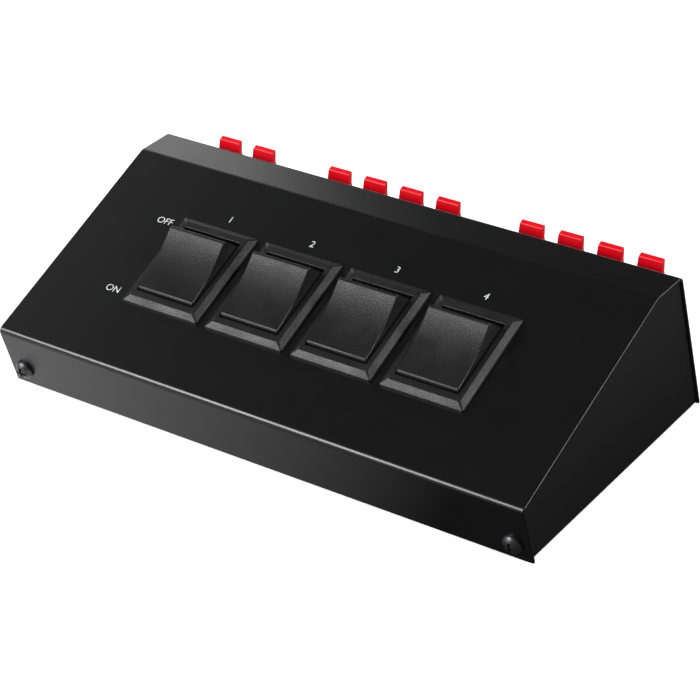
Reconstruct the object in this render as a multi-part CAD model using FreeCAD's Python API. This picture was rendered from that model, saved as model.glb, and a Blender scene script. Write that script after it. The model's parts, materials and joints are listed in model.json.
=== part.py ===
import FreeCAD, Part
import math
import os

# Sloped desk console that switches loudspeakers: a bent steel cover over a folded chassis,
# four rocker switches in the slope and three blocks of lever terminals on the back wall.
# Sizes are in millimetres and angles in degrees.
# X runs along the console, left to right for its user, Y from front to back and Z upwards.
# The table top is at Z = 0 under the feet, and the whole outline is centred on X and Y.

# Steel cover
cover_width = 170.0
cover_sheet = 1.0
front_wall_length = 19.5
front_wall_lean = 15.3
slope_length = 72.0
slope_angle = 22.1
top_band_length = 12.9
back_wall_length = 46.7
back_wall_lean = 15.5
front_bend_radius = 1.6
kink_bend_radius = 3.0
back_bend_radius = 2.0
least_bend_radius = 0.2
same_place = 1e-5
front_lip_drop = 0.8

# Folded chassis inside the cover
chassis_sheet = 1.0
chassis_gap = 0.15
side_inset = 0.6
side_fold_radius = 1.1
flange_height = 10.5
corner_relief = 1.0

# Rubber feet
foot_height = 2.0
foot_radius = 5.0
foot_draft = 0.8
foot_edge_round = 0.5
foot_inset_x = 16.0
foot_inset_y = 15.0

# Cover screws
screw_from_end = 5.0
screw_above_edge = 5.9
screw_thread_radius = 1.45
screw_length = 5.0
screw_head_radius = 2.8
screw_head_height = 2.3
screw_head_rim = 0.7
screw_hole_clearance = 0.25
thread_clearance = 0.03
recess_arm_length = 3.4
recess_arm_width = 0.75
recess_depth = 1.2

# Rocker switches
switch_count = 4
switch_pitch = 28.45
switch_from_bend = 37.1
bezel_width = 25.7
bezel_length = 31.9
bezel_height = 2.0
bezel_skirt = 0.8
bezel_chamfer = 1.7
housing_width = 21.6
housing_length = 29.6
housing_depth = 15.0
housing_floor = 1.6
opening_width = 19.4
opening_length = 24.4
cutout_clearance = 0.15
snap_width = 6.0
snap_depth = 3.0
snap_overlap = 0.6
snap_gap = 0.1
snap_root = 0.2

# Rocker caps
rocker_side_gap = 0.3
rocker_end_gap = 0.3
rocker_tilt = 14.6
pivot_depth = 2.9
ridge_half_length = 9.92
ridge_height = 8.53
top_hollow = 1.1
ridge_round = 0.7
side_edge_round = 0.3
rocker_skirt = 2.5
end_shoulder_height = 2.1
pocket_top = 4.6
pocket_wall = 1.5
stem_half_length = 2.6
stem_half_width = 3.0
stem_bottom = 5.0
trunnion_radius = 1.5
trunnion_clearance = 0.05
trunnion_reach = 0.9

# Contacts under each rocker
plunger_radius = 1.45
plunger_clearance = 0.06
plunger_top = 3.5
plunger_tip = 8.5
plunger_bore_top = 4.2
blade_length = 16.0
blade_width = 4.0
blade_sheet = 0.5
blade_tilt = 5.0
blade_clearance = 0.25
lug_spacing = 7.2
lug_width = 4.8
lug_sheet = 0.8
lug_tail = 7.0
lug_head_height = 0.4
lug_head_length = 2.4
lug_fit = 0.03
lug_eye_radius = 0.9
lug_eye_height = 2.0

# Terminal blocks on the back wall
block_columns = (2, 4, 4)
block_shares = (-0.36353, -0.06118, 0.31412)
block_centres = [share * cover_width for share in block_shares]
block_from_top = 19.5
column_pitch = 12.25
flange_length = 27.0
flange_sheet = 2.0
flange_ear = 5.0
flange_corner_round = 1.5
body_length = 17.8
body_height = 8.0
body_edge_round = 0.6
slot_width = 8.0
slot_cheek = 2.0
slot_floor = 3.3
slot_start = 4.6
wire_hole_radius = 1.6
wire_hole_offset = 2.3
wire_funnel_radius = 2.1
wire_funnel_depth = 0.6
boss_inset = 1.6
boss_length = 15.6
boss_depth = 5.0
boss_clearance = 0.25
clip_length = 4.0
clip_width = 5.0
clip_sheet = 0.8
clip_fit = 0.03
tag_width = 2.4
tag_sheet = 0.6
tag_tail = 5.5
rivet_radius = 1.2
rivet_head_radius = 2.2
rivet_head_height = 1.1
rivet_tail_radius = 1.8
rivet_tail_length = 1.3
rivet_fit = 0.04

# Terminal levers
lever_width = 7.6
lever_front = 4.4
lever_tip_y = 16.2
lever_tip_front = 5.85
lever_lean = 24.5
lever_top_tilt = 7.5
lever_top_length = 1.6
lever_tip_round = 0.3
lever_taper = 0.2
lever_taper_length = 4.2
lever_pivot_y = 6.6
lever_pivot_z = 5.2
lever_hub_radius = 1.5
lever_tail_reach = 1.7
lever_tail_half_sheet = 0.6
lever_pin_radius = 0.8
lever_pin_clearance = 0.05
lever_pin_reach = 1.2
lever_pin_end_gap = 0.2


def sin(angle):
    """Sine of an angle in degrees."""
    return math.sin(math.radians(angle))


def cos(angle):
    """Cosine of an angle in degrees."""
    return math.cos(math.radians(angle))


def along(start, direction, distance):
    """Point at a distance from a start in the Y-Z plane."""
    return (start[0] + direction[0] * distance, start[1] + direction[1] * distance)


# Directions in the Y-Z plane: up each wall, and out of it
front_up = (-sin(front_wall_lean), cos(front_wall_lean))
front_out = (-cos(front_wall_lean), -sin(front_wall_lean))
slope_up = (cos(slope_angle), sin(slope_angle))
slope_out = (-sin(slope_angle), cos(slope_angle))
back_up = (-sin(back_wall_lean), cos(back_wall_lean))
back_out = (cos(back_wall_lean), sin(back_wall_lean))

# Corners of the cover's outer outline, from its front edge over the top to its back edge
front_edge = (front_wall_length * sin(front_wall_lean), foot_height - front_lip_drop)
front_bend = along(front_edge, front_up, front_wall_length)
kink_bend = along(front_bend, slope_up, slope_length)
back_bend = along(kink_bend, (1.0, 0.0), top_band_length)
back_edge = along(back_bend, back_up, -back_wall_length)
cover_outline = (front_edge, front_bend, kink_bend, back_bend, back_edge)
bend_radii = (front_bend_radius, kink_bend_radius, back_bend_radius)

switch_centre = along(front_bend, slope_up, switch_from_bend)
block_centre = along(back_bend, back_up, -block_from_top)
front_screw = along(front_edge, front_up, screw_above_edge)
back_screw = along(back_edge, back_up, screw_above_edge)
screw_x = cover_width / 2 - screw_from_end
rest_shoulder = opening_length / 2 - rocker_end_gap
blade_centre = -(pivot_depth + plunger_tip + blade_clearance + blade_sheet / 2)
cavity_depth = housing_depth - housing_floor


def on_wall(shape, x, point, up, out):
    """Place a local shape on a wall: its Y runs up the wall and its Z points out of it."""
    up_axis = FreeCAD.Vector(0, *up)
    out_axis = FreeCAD.Vector(0, *out)
    rotation = FreeCAD.Rotation(up_axis.cross(out_axis), up_axis, out_axis, "ZYX")
    placed = shape.copy()
    placed.Placement = FreeCAD.Placement(FreeCAD.Vector(x, *point), rotation).multiply(shape.Placement)
    return placed


def on_slope(shape, x):
    """Place a local shape on the slope at the height of the switch row."""
    return on_wall(shape, x, switch_centre, slope_up, slope_out)


def on_back(shape, x):
    """Place a local shape on the back wall at the height of the terminal blocks."""
    return on_wall(shape, x, block_centre, back_up, back_out)


def slab(width, y_low, y_high, z_low, z_high, x=0.0):
    """Box centred on an X position, between two Y and two Z values."""
    corner = FreeCAD.Vector(x - width / 2, y_low, z_low)
    return Part.makeBox(width, y_high - y_low, z_high - z_low, corner)


def rod_x(radius, x_low, x_high, y, z):
    """Round bar that runs along X."""
    return Part.makeCylinder(radius, x_high - x_low, FreeCAD.Vector(x_low, y, z), FreeCAD.Vector(1, 0, 0))


def rod_z(radius, x, y, z_low, z_high):
    """Round bar that runs along Z."""
    return Part.makeCylinder(radius, z_high - z_low, FreeCAD.Vector(x, y, z_low))


def prism_x(points, x_low, x_high):
    """Solid with an outline in the Y-Z plane between two X values."""
    corners = [FreeCAD.Vector(x_low, y, z) for y, z in points]
    face = Part.Face(Part.makePolygon(corners + corners[:1]))
    return face.extrude(FreeCAD.Vector(x_high - x_low, 0, 0))


def frustum(width_low, length_low, z_low, width_high, length_high, z_high):
    """Solid between two centred rectangles at two heights."""
    wires = []
    for width, length, z in ((width_low, length_low, z_low), (width_high, length_high, z_high)):
        half_x = width / 2
        half_y = length / 2
        signs = ((-1, -1), (1, -1), (1, 1), (-1, 1), (-1, -1))
        wires.append(Part.makePolygon([FreeCAD.Vector(sx * half_x, sy * half_y, z) for sx, sy in signs]))
    return Part.makeLoft(wires, True, True)


def edges_at(shape, point):
    """Edges along X that run through a point of the Y-Z plane."""
    found = []
    for edge in shape.Edges:
        ends = [vertex.Point for vertex in edge.Vertexes]
        if all(math.hypot(end.y - point[0], end.z - point[1]) < same_place for end in ends):
            found.append(edge)
    return found


def inward(points, distance):
    """Outline moved inside the cover by a distance, with square ends."""
    directions = []
    for start, end in zip(points, points[1:]):
        length = math.hypot(end[0] - start[0], end[1] - start[1])
        directions.append(((end[0] - start[0]) / length, (end[1] - start[1]) / length))
    moved = [along(points[0], (directions[0][1], -directions[0][0]), distance)]
    for point, before, after in zip(points[1:], directions, directions[1:]):
        middle = (before[1] + after[1], -(before[0] + after[0]))
        share = 1.0 + before[0] * after[0] + before[1] * after[1]
        moved.append(along(point, middle, distance / share))
    moved.append(along(points[-1], (directions[-1][1], -directions[-1][0]), distance))
    return moved


def at_height(start, end, z):
    """Point of a line at a given height."""
    share = (z - start[1]) / (end[1] - start[1])
    return (start[0] + (end[0] - start[0]) * share, z)


def make_cover():
    """Bent steel cover with its switch windows, terminal windows and screw holes."""
    inner = inward(cover_outline, cover_sheet)
    half = cover_width / 2
    cover = prism_x(list(cover_outline) + inner[::-1], -half, half)
    for outer_corner, inner_corner, radius in zip(cover_outline[1:4], inner[1:4], bend_radii):
        cover = cover.makeFillet(radius, edges_at(cover, outer_corner))
        inner_radius = max(radius - cover_sheet, least_bend_radius)
        cover = cover.makeFillet(inner_radius, edges_at(cover, inner_corner))
    depth = 2 * cover_sheet
    window_width = housing_width + 2 * cutout_clearance
    window_length = (housing_length + 2 * cutout_clearance) / 2
    window = slab(window_width, -window_length, window_length, -depth, depth)
    for x in switch_positions():
        cover = cover.cut(on_slope(window, x))
    for columns, x in zip(block_columns, block_centres):
        width = boss_width(columns) + 2 * boss_clearance
        half_length = boss_length / 2 + boss_clearance
        cover = cover.cut(on_back(slab(width, -half_length, half_length, -depth, depth), x))
        for side in (-1, 1):
            hole = rod_z(rivet_radius + rivet_fit, side * rivet_offset(columns), 0, -depth, depth)
            cover = cover.cut(on_back(hole, x))
    hole = rod_z(screw_thread_radius + screw_hole_clearance, 0, 0, -depth, depth)
    for x in (-screw_x, screw_x):
        cover = cover.cut(on_wall(hole, x, front_screw, front_up, front_out))
        cover = cover.cut(on_wall(hole, x, back_screw, back_up, back_out))
    return cover


def make_chassis():
    """Folded chassis: bottom, two side panels and a screw flange at front and back."""
    outline = inward(cover_outline, cover_sheet + chassis_gap)
    outline[0] = at_height(outline[0], outline[1], foot_height)
    outline[-1] = at_height(outline[-2], outline[-1], foot_height)
    outer = cover_width / 2 - side_inset
    side = prism_x(outline, outer - chassis_sheet, outer)
    for corner, radius in zip(outline[1:4], bend_radii):
        fitted = max(radius - cover_sheet - chassis_gap, least_bend_radius)
        side = side.makeFillet(fitted, edges_at(side, corner))
    sides = [side, side.mirror(FreeCAD.Vector(0, 0, 0), FreeCAD.Vector(1, 0, 0))]
    top = foot_height + chassis_sheet
    folded = [at_height(outline[0], outline[1], top), at_height(outline[-2], outline[-1], top)]
    bottom = prism_x([outline[0], folded[0], folded[1], outline[-1]], -outer, outer)
    chassis = bottom.fuse(sides).removeSplitter()
    for end in (-1, 1):
        fold = [edge for edge in chassis.Edges if is_side_fold(edge, end * outer)]
        chassis = chassis.makeFillet(side_fold_radius, fold)
    reach = outer - chassis_sheet - corner_relief
    for low, up, out in ((outline[0], front_up, front_out), (outline[-1], back_up, back_out)):
        high = along(low, up, flange_height)
        inner_high = along(high, out, -chassis_sheet)
        inner_low = at_height(along(low, out, -chassis_sheet), inner_high, foot_height)
        chassis = chassis.fuse(prism_x([low, high, inner_high, inner_low], -reach, reach))
    hole = rod_z(screw_thread_radius + thread_clearance, 0, 0, -4 * chassis_sheet, 0)
    for x in (-screw_x, screw_x):
        chassis = chassis.cut(on_wall(hole, x, front_screw, front_up, front_out))
        chassis = chassis.cut(on_wall(hole, x, back_screw, back_up, back_out))
    return chassis.removeSplitter()


def is_side_fold(edge, x):
    """True for the long lower edge of a side panel at an X position."""
    ends = [vertex.Point for vertex in edge.Vertexes]
    return all(abs(end.x - x) < same_place and abs(end.z - foot_height) < same_place for end in ends)


def make_feet():
    """Four stuck-on rubber feet."""
    front = front_edge[0] + foot_inset_y
    back = back_edge[0] - foot_inset_y
    reach = cover_width / 2 - foot_inset_x
    feet = []
    for x in (-reach, reach):
        for y in (front, back):
            place = FreeCAD.Vector(x, y, 0)
            foot = Part.makeCone(foot_radius - foot_draft, foot_radius, foot_height, place)
            rim = [edge for edge in foot.Edges if edge.BoundBox.ZMax < same_place]
            feet.append(foot.makeFillet(foot_edge_round, rim))
    return Part.makeCompound(feet)


def make_cover_screw():
    """Pan head screw with a cross recess, standing on a wall's outer face."""
    dome = screw_head_height - screw_head_rim
    dome_radius = (screw_head_radius ** 2 + dome ** 2) / (2 * dome)
    centre = FreeCAD.Vector(0, 0, screw_head_height - dome_radius)
    ball = Part.makeSphere(dome_radius, centre)
    head = rod_z(screw_head_radius, 0, 0, 0, screw_head_height).common(ball)
    screw = head.fuse(rod_z(screw_thread_radius, 0, 0, -screw_length, 0))
    floor = screw_head_height - recess_depth
    half_arm = recess_arm_length / 2
    arm = slab(recess_arm_width, -half_arm, half_arm, floor, screw_head_height)
    crossed = arm.copy()
    crossed.rotate(FreeCAD.Vector(0, 0, 0), FreeCAD.Vector(0, 0, 1), 90)
    point_at = FreeCAD.Vector(0, 0, floor - recess_arm_width)
    point = Part.makeCone(0, recess_arm_width, recess_arm_width, point_at)
    return screw.cut([arm, crossed, point]).removeSplitter()


def make_cover_screws():
    """The four screws that hold the cover to the chassis."""
    screw = make_cover_screw()
    screws = []
    for x in (-screw_x, screw_x):
        screws.append(on_wall(screw, x, front_screw, front_up, front_out))
        screws.append(on_wall(screw, x, back_screw, back_up, back_out))
    return Part.makeCompound(screws)


def switch_positions():
    """X positions of the switches, from left to right."""
    first = -switch_pitch * (switch_count - 1) / 2
    return [first + switch_pitch * index for index in range(switch_count)]


def make_housing():
    """Switch housing: chamfered bezel, open box below it, snap wedges, bores and lug slots."""
    bezel = slab(bezel_width, -bezel_length / 2, bezel_length / 2, 0, bezel_skirt)
    top_width = bezel_width - 2 * bezel_chamfer
    top_length = bezel_length - 2 * bezel_chamfer
    chamfered = frustum(bezel_width, bezel_length, bezel_skirt, top_width, top_length, bezel_height)
    bezel = bezel.fuse(chamfered)
    half = housing_length / 2
    housing = bezel.fuse(slab(housing_width, -half, half, -housing_depth, 0))
    catch = -(cover_sheet + snap_gap)
    for side in (-1, 1):
        root = side * (half - snap_root)
        wedge = [(root, catch), (side * (half + snap_overlap), catch), (root, catch - snap_depth)]
        housing = housing.fuse(prism_x(wedge, -snap_width / 2, snap_width / 2))
    half_opening = opening_length / 2
    housing = housing.cut(slab(opening_width, -half_opening, half_opening, -cavity_depth, bezel_height))
    bore = rod_x(trunnion_radius + trunnion_clearance, -housing_width, housing_width, 0, -pivot_depth)
    housing = housing.cut(bore)
    slot_half = lug_sheet / 2 + lug_fit
    for y in (-lug_spacing, 0, lug_spacing):
        slot = slab(lug_width + 2 * lug_fit, y - slot_half, y + slot_half, -housing_depth, -cavity_depth)
        housing = housing.cut(slot)
    return housing.removeSplitter()


def make_rocker():
    """Rocker cap with a hollowed top, pockets below, stem and trunnions, at its rest tilt."""
    shoulder = math.sqrt(rest_shoulder ** 2 - end_shoulder_height ** 2)
    skirt = math.sqrt(rest_shoulder ** 2 - rocker_skirt ** 2)
    half_width = opening_width / 2 - rocker_side_gap

    def at(y, z):
        return FreeCAD.Vector(-half_width, y, z)

    left_ridge = at(-ridge_half_length, ridge_height)
    right_ridge = at(ridge_half_length, ridge_height)
    left_shoulder = at(-shoulder, end_shoulder_height)
    right_shoulder = at(shoulder, end_shoulder_height)
    edges = [Part.Arc(left_ridge, at(0, ridge_height - top_hollow), right_ridge).toShape()]
    edges.append(Part.makeLine(right_ridge, right_shoulder))
    right_end = Part.Arc(right_shoulder, at(rest_shoulder, 0), at(skirt, -rocker_skirt))
    edges.append(right_end.toShape())
    edges.append(Part.makeLine(at(skirt, -rocker_skirt), at(-skirt, -rocker_skirt)))
    left_end = Part.Arc(at(-skirt, -rocker_skirt), at(-rest_shoulder, 0), left_shoulder)
    edges.append(left_end.toShape())
    edges.append(Part.makeLine(left_shoulder, left_ridge))
    cap = Part.Face(Part.Wire(edges)).extrude(FreeCAD.Vector(2 * half_width, 0, 0))
    for ridge in (left_ridge, right_ridge):
        cap = cap.makeFillet(ridge_round, edges_at(cap, (ridge.y, ridge.z)))
    top = [edge for edge in cap.Edges if is_top_side_edge(edge, half_width)]
    cap = cap.makeFillet(side_edge_round, top)
    pocket_half = half_width - pocket_wall
    pocket_end = ridge_half_length - side_edge_round
    for side in (-1, 1):
        low, high = sorted((side * stem_half_length, side * pocket_end))
        cap = cap.cut(slab(2 * pocket_half, low, high, -rocker_skirt, pocket_top))
    stem = slab(2 * stem_half_width, -stem_half_length, stem_half_length, -stem_bottom, pocket_top)
    cap = cap.fuse(stem)
    reach = half_width + rocker_side_gap + trunnion_reach
    cap = cap.fuse(rod_x(trunnion_radius, -reach, -half_width + pocket_wall, 0, 0))
    cap = cap.fuse(rod_x(trunnion_radius, half_width - pocket_wall, reach, 0, 0))
    cap = cap.cut(rod_z(plunger_radius + plunger_clearance, 0, 0, -stem_bottom, plunger_bore_top))
    return tilted(cap.removeSplitter())


def is_top_side_edge(edge, half_width):
    """True for an edge of the cap's hollowed top that lies on one of its side faces."""
    box = edge.BoundBox
    on_side = abs(abs(box.XMin) - half_width) < same_place and box.XLength < same_place
    return on_side and box.ZMin > ridge_height - top_hollow - ridge_round


def make_plunger():
    """Round-nosed plunger in the rocker's stem, at the rocker's rest tilt."""
    nose = -(plunger_tip - plunger_radius)
    plunger = rod_z(plunger_radius, 0, 0, nose, plunger_top)
    plunger = plunger.fuse(Part.makeSphere(plunger_radius, FreeCAD.Vector(0, 0, nose)))
    return tilted(plunger.removeSplitter())


def tilted(shape):
    """Shape drawn around the rocker's pivot, moved there and turned to the rest tilt."""
    turned = shape.copy()
    turned.rotate(FreeCAD.Vector(0, 0, 0), FreeCAD.Vector(1, 0, 0), rocker_tilt)
    turned.translate(FreeCAD.Vector(0, 0, -pivot_depth))
    return turned


def make_blade():
    """Seesaw contact blade under the plunger, tipped to the closed side."""
    half_length = blade_length / 2
    blade = slab(blade_width, -half_length, half_length, -blade_sheet / 2, blade_sheet / 2)
    corners = [edge for edge in blade.Edges if edge.BoundBox.ZLength > blade_sheet * 0.9]
    blade = blade.makeFillet(blade_width * 0.4, corners)
    blade.rotate(FreeCAD.Vector(0, 0, 0), FreeCAD.Vector(1, 0, 0), -blade_tilt)
    blade.translate(FreeCAD.Vector(0, 0, blade_centre))
    return blade


def make_lugs():
    """Three solder lugs of one switch, with their contact heads on the housing floor."""
    lugs = []
    head_tops = {}
    outer_top = blade_centre - lug_spacing * sin(blade_tilt) - blade_sheet / 2 - blade_clearance
    centre_top = blade_centre - blade_sheet / 2 - blade_clearance
    for y in (-lug_spacing, 0, lug_spacing):
        head_tops[y] = centre_top if y == 0 else min(outer_top, -cavity_depth + lug_head_height)
    for y, head_top in head_tops.items():
        half_sheet = lug_sheet / 2
        tail_end = -housing_depth - lug_tail
        tail = slab(lug_width, y - half_sheet, y + half_sheet, tail_end, -cavity_depth)
        half_head = lug_head_length / 2
        head = slab(blade_width, y - half_head, y + half_head, -cavity_depth, head_top)
        eye_at = FreeCAD.Vector(0, y - lug_sheet, tail_end + lug_eye_height)
        eye = Part.makeCylinder(lug_eye_radius, 2 * lug_sheet, eye_at, FreeCAD.Vector(0, 1, 0))
        lugs.append(tail.fuse(head).cut(eye).removeSplitter())
    return Part.makeCompound(lugs)


def column_positions(columns):
    """Column centres of a terminal block, from its middle."""
    first = -column_pitch * (columns - 1) / 2
    return [first + column_pitch * index for index in range(columns)]


def body_width(columns):
    """Width of a block's raised body."""
    return column_pitch * (columns - 1) + slot_width + 2 * slot_cheek


def boss_width(columns):
    """Width of the boss that passes through the back wall."""
    return body_width(columns) - 2 * boss_inset


def rivet_offset(columns):
    """Distance of a block's rivets from its middle."""
    return body_width(columns) / 2 + flange_ear / 2


def make_block(columns):
    """Terminal block: flange, raised body, boss through the wall, lever slots and wire holes."""
    width = body_width(columns)
    half_flange = flange_length / 2
    flange = slab(width + 2 * flange_ear, -half_flange, half_flange, 0, flange_sheet)
    corners = [edge for edge in flange.Edges if edge.BoundBox.ZLength > flange_sheet * 0.9]
    flange = flange.makeFillet(flange_corner_round, corners)
    half_body = body_length / 2
    body = slab(width, -half_body, half_body, 0, body_height)
    rims = [edge for edge in body.Edges if edge.BoundBox.ZMin > body_height - same_place]
    body = body.makeFillet(body_edge_round, rims)
    half_boss = boss_length / 2
    boss = slab(boss_width(columns), -half_boss, half_boss, -boss_depth, 0)
    block = flange.fuse([body, boss])
    for x in column_positions(columns):
        block = block.cut(column_cutters(x))
    for side in (-1, 1):
        hole = rod_z(rivet_radius + rivet_fit, side * rivet_offset(columns), 0, 0, flange_sheet)
        block = block.cut(hole)
    return block.removeSplitter()


def column_cutters(x):
    """Lever slots, pin bores, wire holes and clip seats of one column."""
    cutters = []
    pin_half = slot_width / 2 + lever_pin_reach + lever_pin_end_gap
    bore_radius = lever_pin_radius + lever_pin_clearance
    for side in (-1, 1):
        low, high = sorted((side * slot_start, side * body_length))
        cutters.append(slab(slot_width, low, high, slot_floor, 2 * body_height, x))
        cutters.append(rod_x(bore_radius, x - pin_half, x + pin_half, side * lever_pivot_y, lever_pivot_z))
        y = side * wire_hole_offset
        cutters.append(rod_z(wire_hole_radius, x, y, -boss_depth, body_height))
        funnel_low = body_height - wire_funnel_depth
        funnel_at = FreeCAD.Vector(x, y, funnel_low)
        cutters.append(Part.makeCone(wire_hole_radius, wire_funnel_radius, wire_funnel_depth, funnel_at))
        half_seat = clip_length / 2 + clip_fit
        seat_width = clip_width + 2 * clip_fit
        seat_top = clip_sheet - boss_depth
        cutters.append(slab(seat_width, y - half_seat, y + half_seat, -boss_depth, seat_top, x))
    return cutters


def make_clips(columns):
    """Contact clips of one block, each with its solder tag inside the console."""
    clips = []
    half_length = clip_length / 2
    plate_top = clip_sheet - boss_depth
    half_tag = tag_sheet / 2
    tag_end = -boss_depth - tag_tail
    for x in column_positions(columns):
        for y in (-wire_hole_offset, wire_hole_offset):
            plate = slab(clip_width, y - half_length, y + half_length, -boss_depth, plate_top, x)
            tag = slab(tag_width, y - half_tag, y + half_tag, tag_end, -boss_depth, x)
            clips.append(plate.fuse(tag).removeSplitter())
    return Part.makeCompound(clips)


def make_rivet():
    """Blind rivet through a block's flange and the back wall."""
    tail_top = -cover_sheet
    tail_low = tail_top - rivet_tail_length
    dome_radius = (rivet_head_radius ** 2 + rivet_head_height ** 2) / (2 * rivet_head_height)
    head_top = flange_sheet + rivet_head_height
    ball = Part.makeSphere(dome_radius, FreeCAD.Vector(0, 0, head_top - dome_radius))
    head = rod_z(rivet_head_radius, 0, 0, flange_sheet, head_top).common(ball)
    shank = rod_z(rivet_radius, 0, 0, tail_top, flange_sheet)
    tail = rod_z(rivet_tail_radius, 0, 0, tail_low, tail_top)
    return head.fuse([shank, tail]).removeSplitter()


def make_rivets():
    """Rivets of all terminal blocks."""
    rivets = []
    rivet = make_rivet()
    for columns, x in zip(block_columns, block_centres):
        for side in (-1, 1):
            placed = rivet.copy()
            placed.translate(FreeCAD.Vector(side * rivet_offset(columns), 0, 0))
            rivets.append(on_back(placed, x))
    return Part.makeCompound(rivets)


def tab_outline():
    """Side outline of a lever's tab: a straight part from the hub and a finger tip that leans outwards."""
    tip_front = (lever_tip_y, lever_tip_front)
    tip_back = along(tip_front, (sin(lever_top_tilt), cos(lever_top_tilt)), lever_top_length)
    down = (-cos(lever_lean), -sin(lever_lean))
    sheet = lever_top_length * cos(lever_lean - lever_top_tilt)
    back = lever_front + sheet
    front_bend_at = along(tip_front, down, (tip_front[1] - lever_front) / sin(lever_lean))
    back_bend_at = along(tip_back, down, (tip_back[1] - back) / sin(lever_lean))
    base = lever_pivot_y
    return [(base, lever_front), front_bend_at, tip_front, tip_back, back_bend_at, (base, back)]


def make_lever(side):
    """Terminal lever on its pins, in the upper row for side 1 and in the lower row for side -1."""
    half_base = lever_width / 2
    tab = prism_x(tab_outline(), -half_base, half_base)
    for end in (-1, 1):
        taper_low = lever_tip_y - lever_taper_length
        taper_high = taper_low + 2 * lever_taper_length
        corners = [(half_base, taper_low), (half_base - 2 * lever_taper, taper_high), (lever_width, taper_high)]
        wire = Part.makePolygon([FreeCAD.Vector(end * x, y, 0) for x, y in corners + corners[:1]])
        tab = tab.cut(Part.Face(wire).extrude(FreeCAD.Vector(0, 0, 2 * body_height)))
    tips = [edge for edge in tab.Edges if edge.BoundBox.YMin > lever_tip_y - same_place]
    tab = tab.makeFillet(lever_tip_round, tips)
    hub = rod_x(lever_hub_radius, -half_base, half_base, lever_pivot_y, lever_pivot_z)
    tail_low = lever_pivot_y - lever_tail_reach
    tail_base = lever_pivot_z - lever_tail_half_sheet
    tail_top = lever_pivot_z + lever_tail_half_sheet
    tail = slab(lever_width, tail_low, lever_pivot_y, tail_base, tail_top)
    pin_half = slot_width / 2 + lever_pin_reach
    pin = rod_x(lever_pin_radius, -pin_half, pin_half, lever_pivot_y, lever_pivot_z)
    lever = tab.fuse([hub, tail, pin]).removeSplitter()
    if side < 0:
        lever = lever.mirror(FreeCAD.Vector(0, 0, 0), FreeCAD.Vector(0, 1, 0))
    return lever


def lever_columns():
    """World X of every lever column, from left to right."""
    places = []
    for columns, centre in zip(block_columns, block_centres):
        places.extend(centre + offset for offset in column_positions(columns))
    return places


def build():
    """Every node of the console, by name, before it is centred."""
    nodes = {"top_cover": make_cover(), "base_chassis": make_chassis()}
    nodes["rubber_feet"] = make_feet()
    nodes["cover_screws"] = make_cover_screws()
    housing = make_housing()
    rocker = make_rocker()
    plunger = make_plunger()
    blade = make_blade()
    lugs = make_lugs()
    all_lugs = []
    for index, x in enumerate(switch_positions(), 1):
        nodes[f"switch_housing_{index}"] = on_slope(housing, x)
        nodes[f"rocker_{index}"] = on_slope(rocker, x)
        nodes[f"plunger_{index}"] = on_slope(plunger, x)
        nodes[f"contact_blade_{index}"] = on_slope(blade, x)
        all_lugs.extend(on_slope(lug, x) for lug in lugs.Solids)
    nodes["switch_lugs"] = Part.makeCompound(all_lugs)
    names = ("input", "output_a", "output_b")
    for name, columns, x in zip(names, block_columns, block_centres):
        nodes[f"terminal_block_{name}"] = on_back(make_block(columns), x)
        nodes[f"terminal_clips_{name}"] = on_back(make_clips(columns), x)
    nodes["terminal_rivets"] = make_rivets()
    for index, x in enumerate(lever_columns(), 1):
        nodes[f"lever_red_{index:02d}"] = on_back(make_lever(1), x)
        nodes[f"lever_black_{index:02d}"] = on_back(make_lever(-1), x)
    return nodes


def centre_shift(nodes):
    """Distance along Y that centres the whole outline on the origin."""
    box = Part.makeCompound(list(nodes.values())).optimalBoundingBox(False)
    return -(box.YMin + box.YMax) / 2


nodes = build()
y_shift = centre_shift(nodes)
os.makedirs("parts", exist_ok=True)
for name, shape in nodes.items():
    shape.translate(FreeCAD.Vector(0, y_shift, 0))
    shape.exportStep(f"parts/{name}.step")
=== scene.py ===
"""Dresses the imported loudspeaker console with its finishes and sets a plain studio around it."""
import json
import logging
import math
from dataclasses import dataclass, field
from enum import Enum
from typing import ClassVar

import bmesh
import bpy
from mathutils import Matrix, Vector


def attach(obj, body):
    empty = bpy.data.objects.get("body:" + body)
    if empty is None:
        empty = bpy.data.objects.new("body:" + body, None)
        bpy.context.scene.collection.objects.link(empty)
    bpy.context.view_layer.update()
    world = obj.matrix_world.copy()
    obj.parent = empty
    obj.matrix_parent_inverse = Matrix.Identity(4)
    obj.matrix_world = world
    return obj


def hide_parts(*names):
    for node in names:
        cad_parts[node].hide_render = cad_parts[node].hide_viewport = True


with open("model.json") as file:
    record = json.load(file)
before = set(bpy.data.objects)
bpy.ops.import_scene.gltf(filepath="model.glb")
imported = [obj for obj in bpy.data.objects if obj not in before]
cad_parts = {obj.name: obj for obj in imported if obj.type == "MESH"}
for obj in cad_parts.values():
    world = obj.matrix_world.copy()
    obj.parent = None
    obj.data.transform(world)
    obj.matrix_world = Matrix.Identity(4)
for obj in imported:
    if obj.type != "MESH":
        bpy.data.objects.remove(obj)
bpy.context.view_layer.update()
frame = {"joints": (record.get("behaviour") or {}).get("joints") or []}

log = logging.getLogger("console")
MILLIMETRE = 0.001
TOUCH = 0.01
ROOT_BODY = "console"


class Grain(Enum):
    """How the skin of a finish is broken up."""

    PEEL = "soft orange peel of a powder coat"
    SPARK = "fine pits of a spark eroded mould"
    MOULD = "faint waviness of a polished mould"
    DRAWN = "drawn lines of rolled metal"


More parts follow.
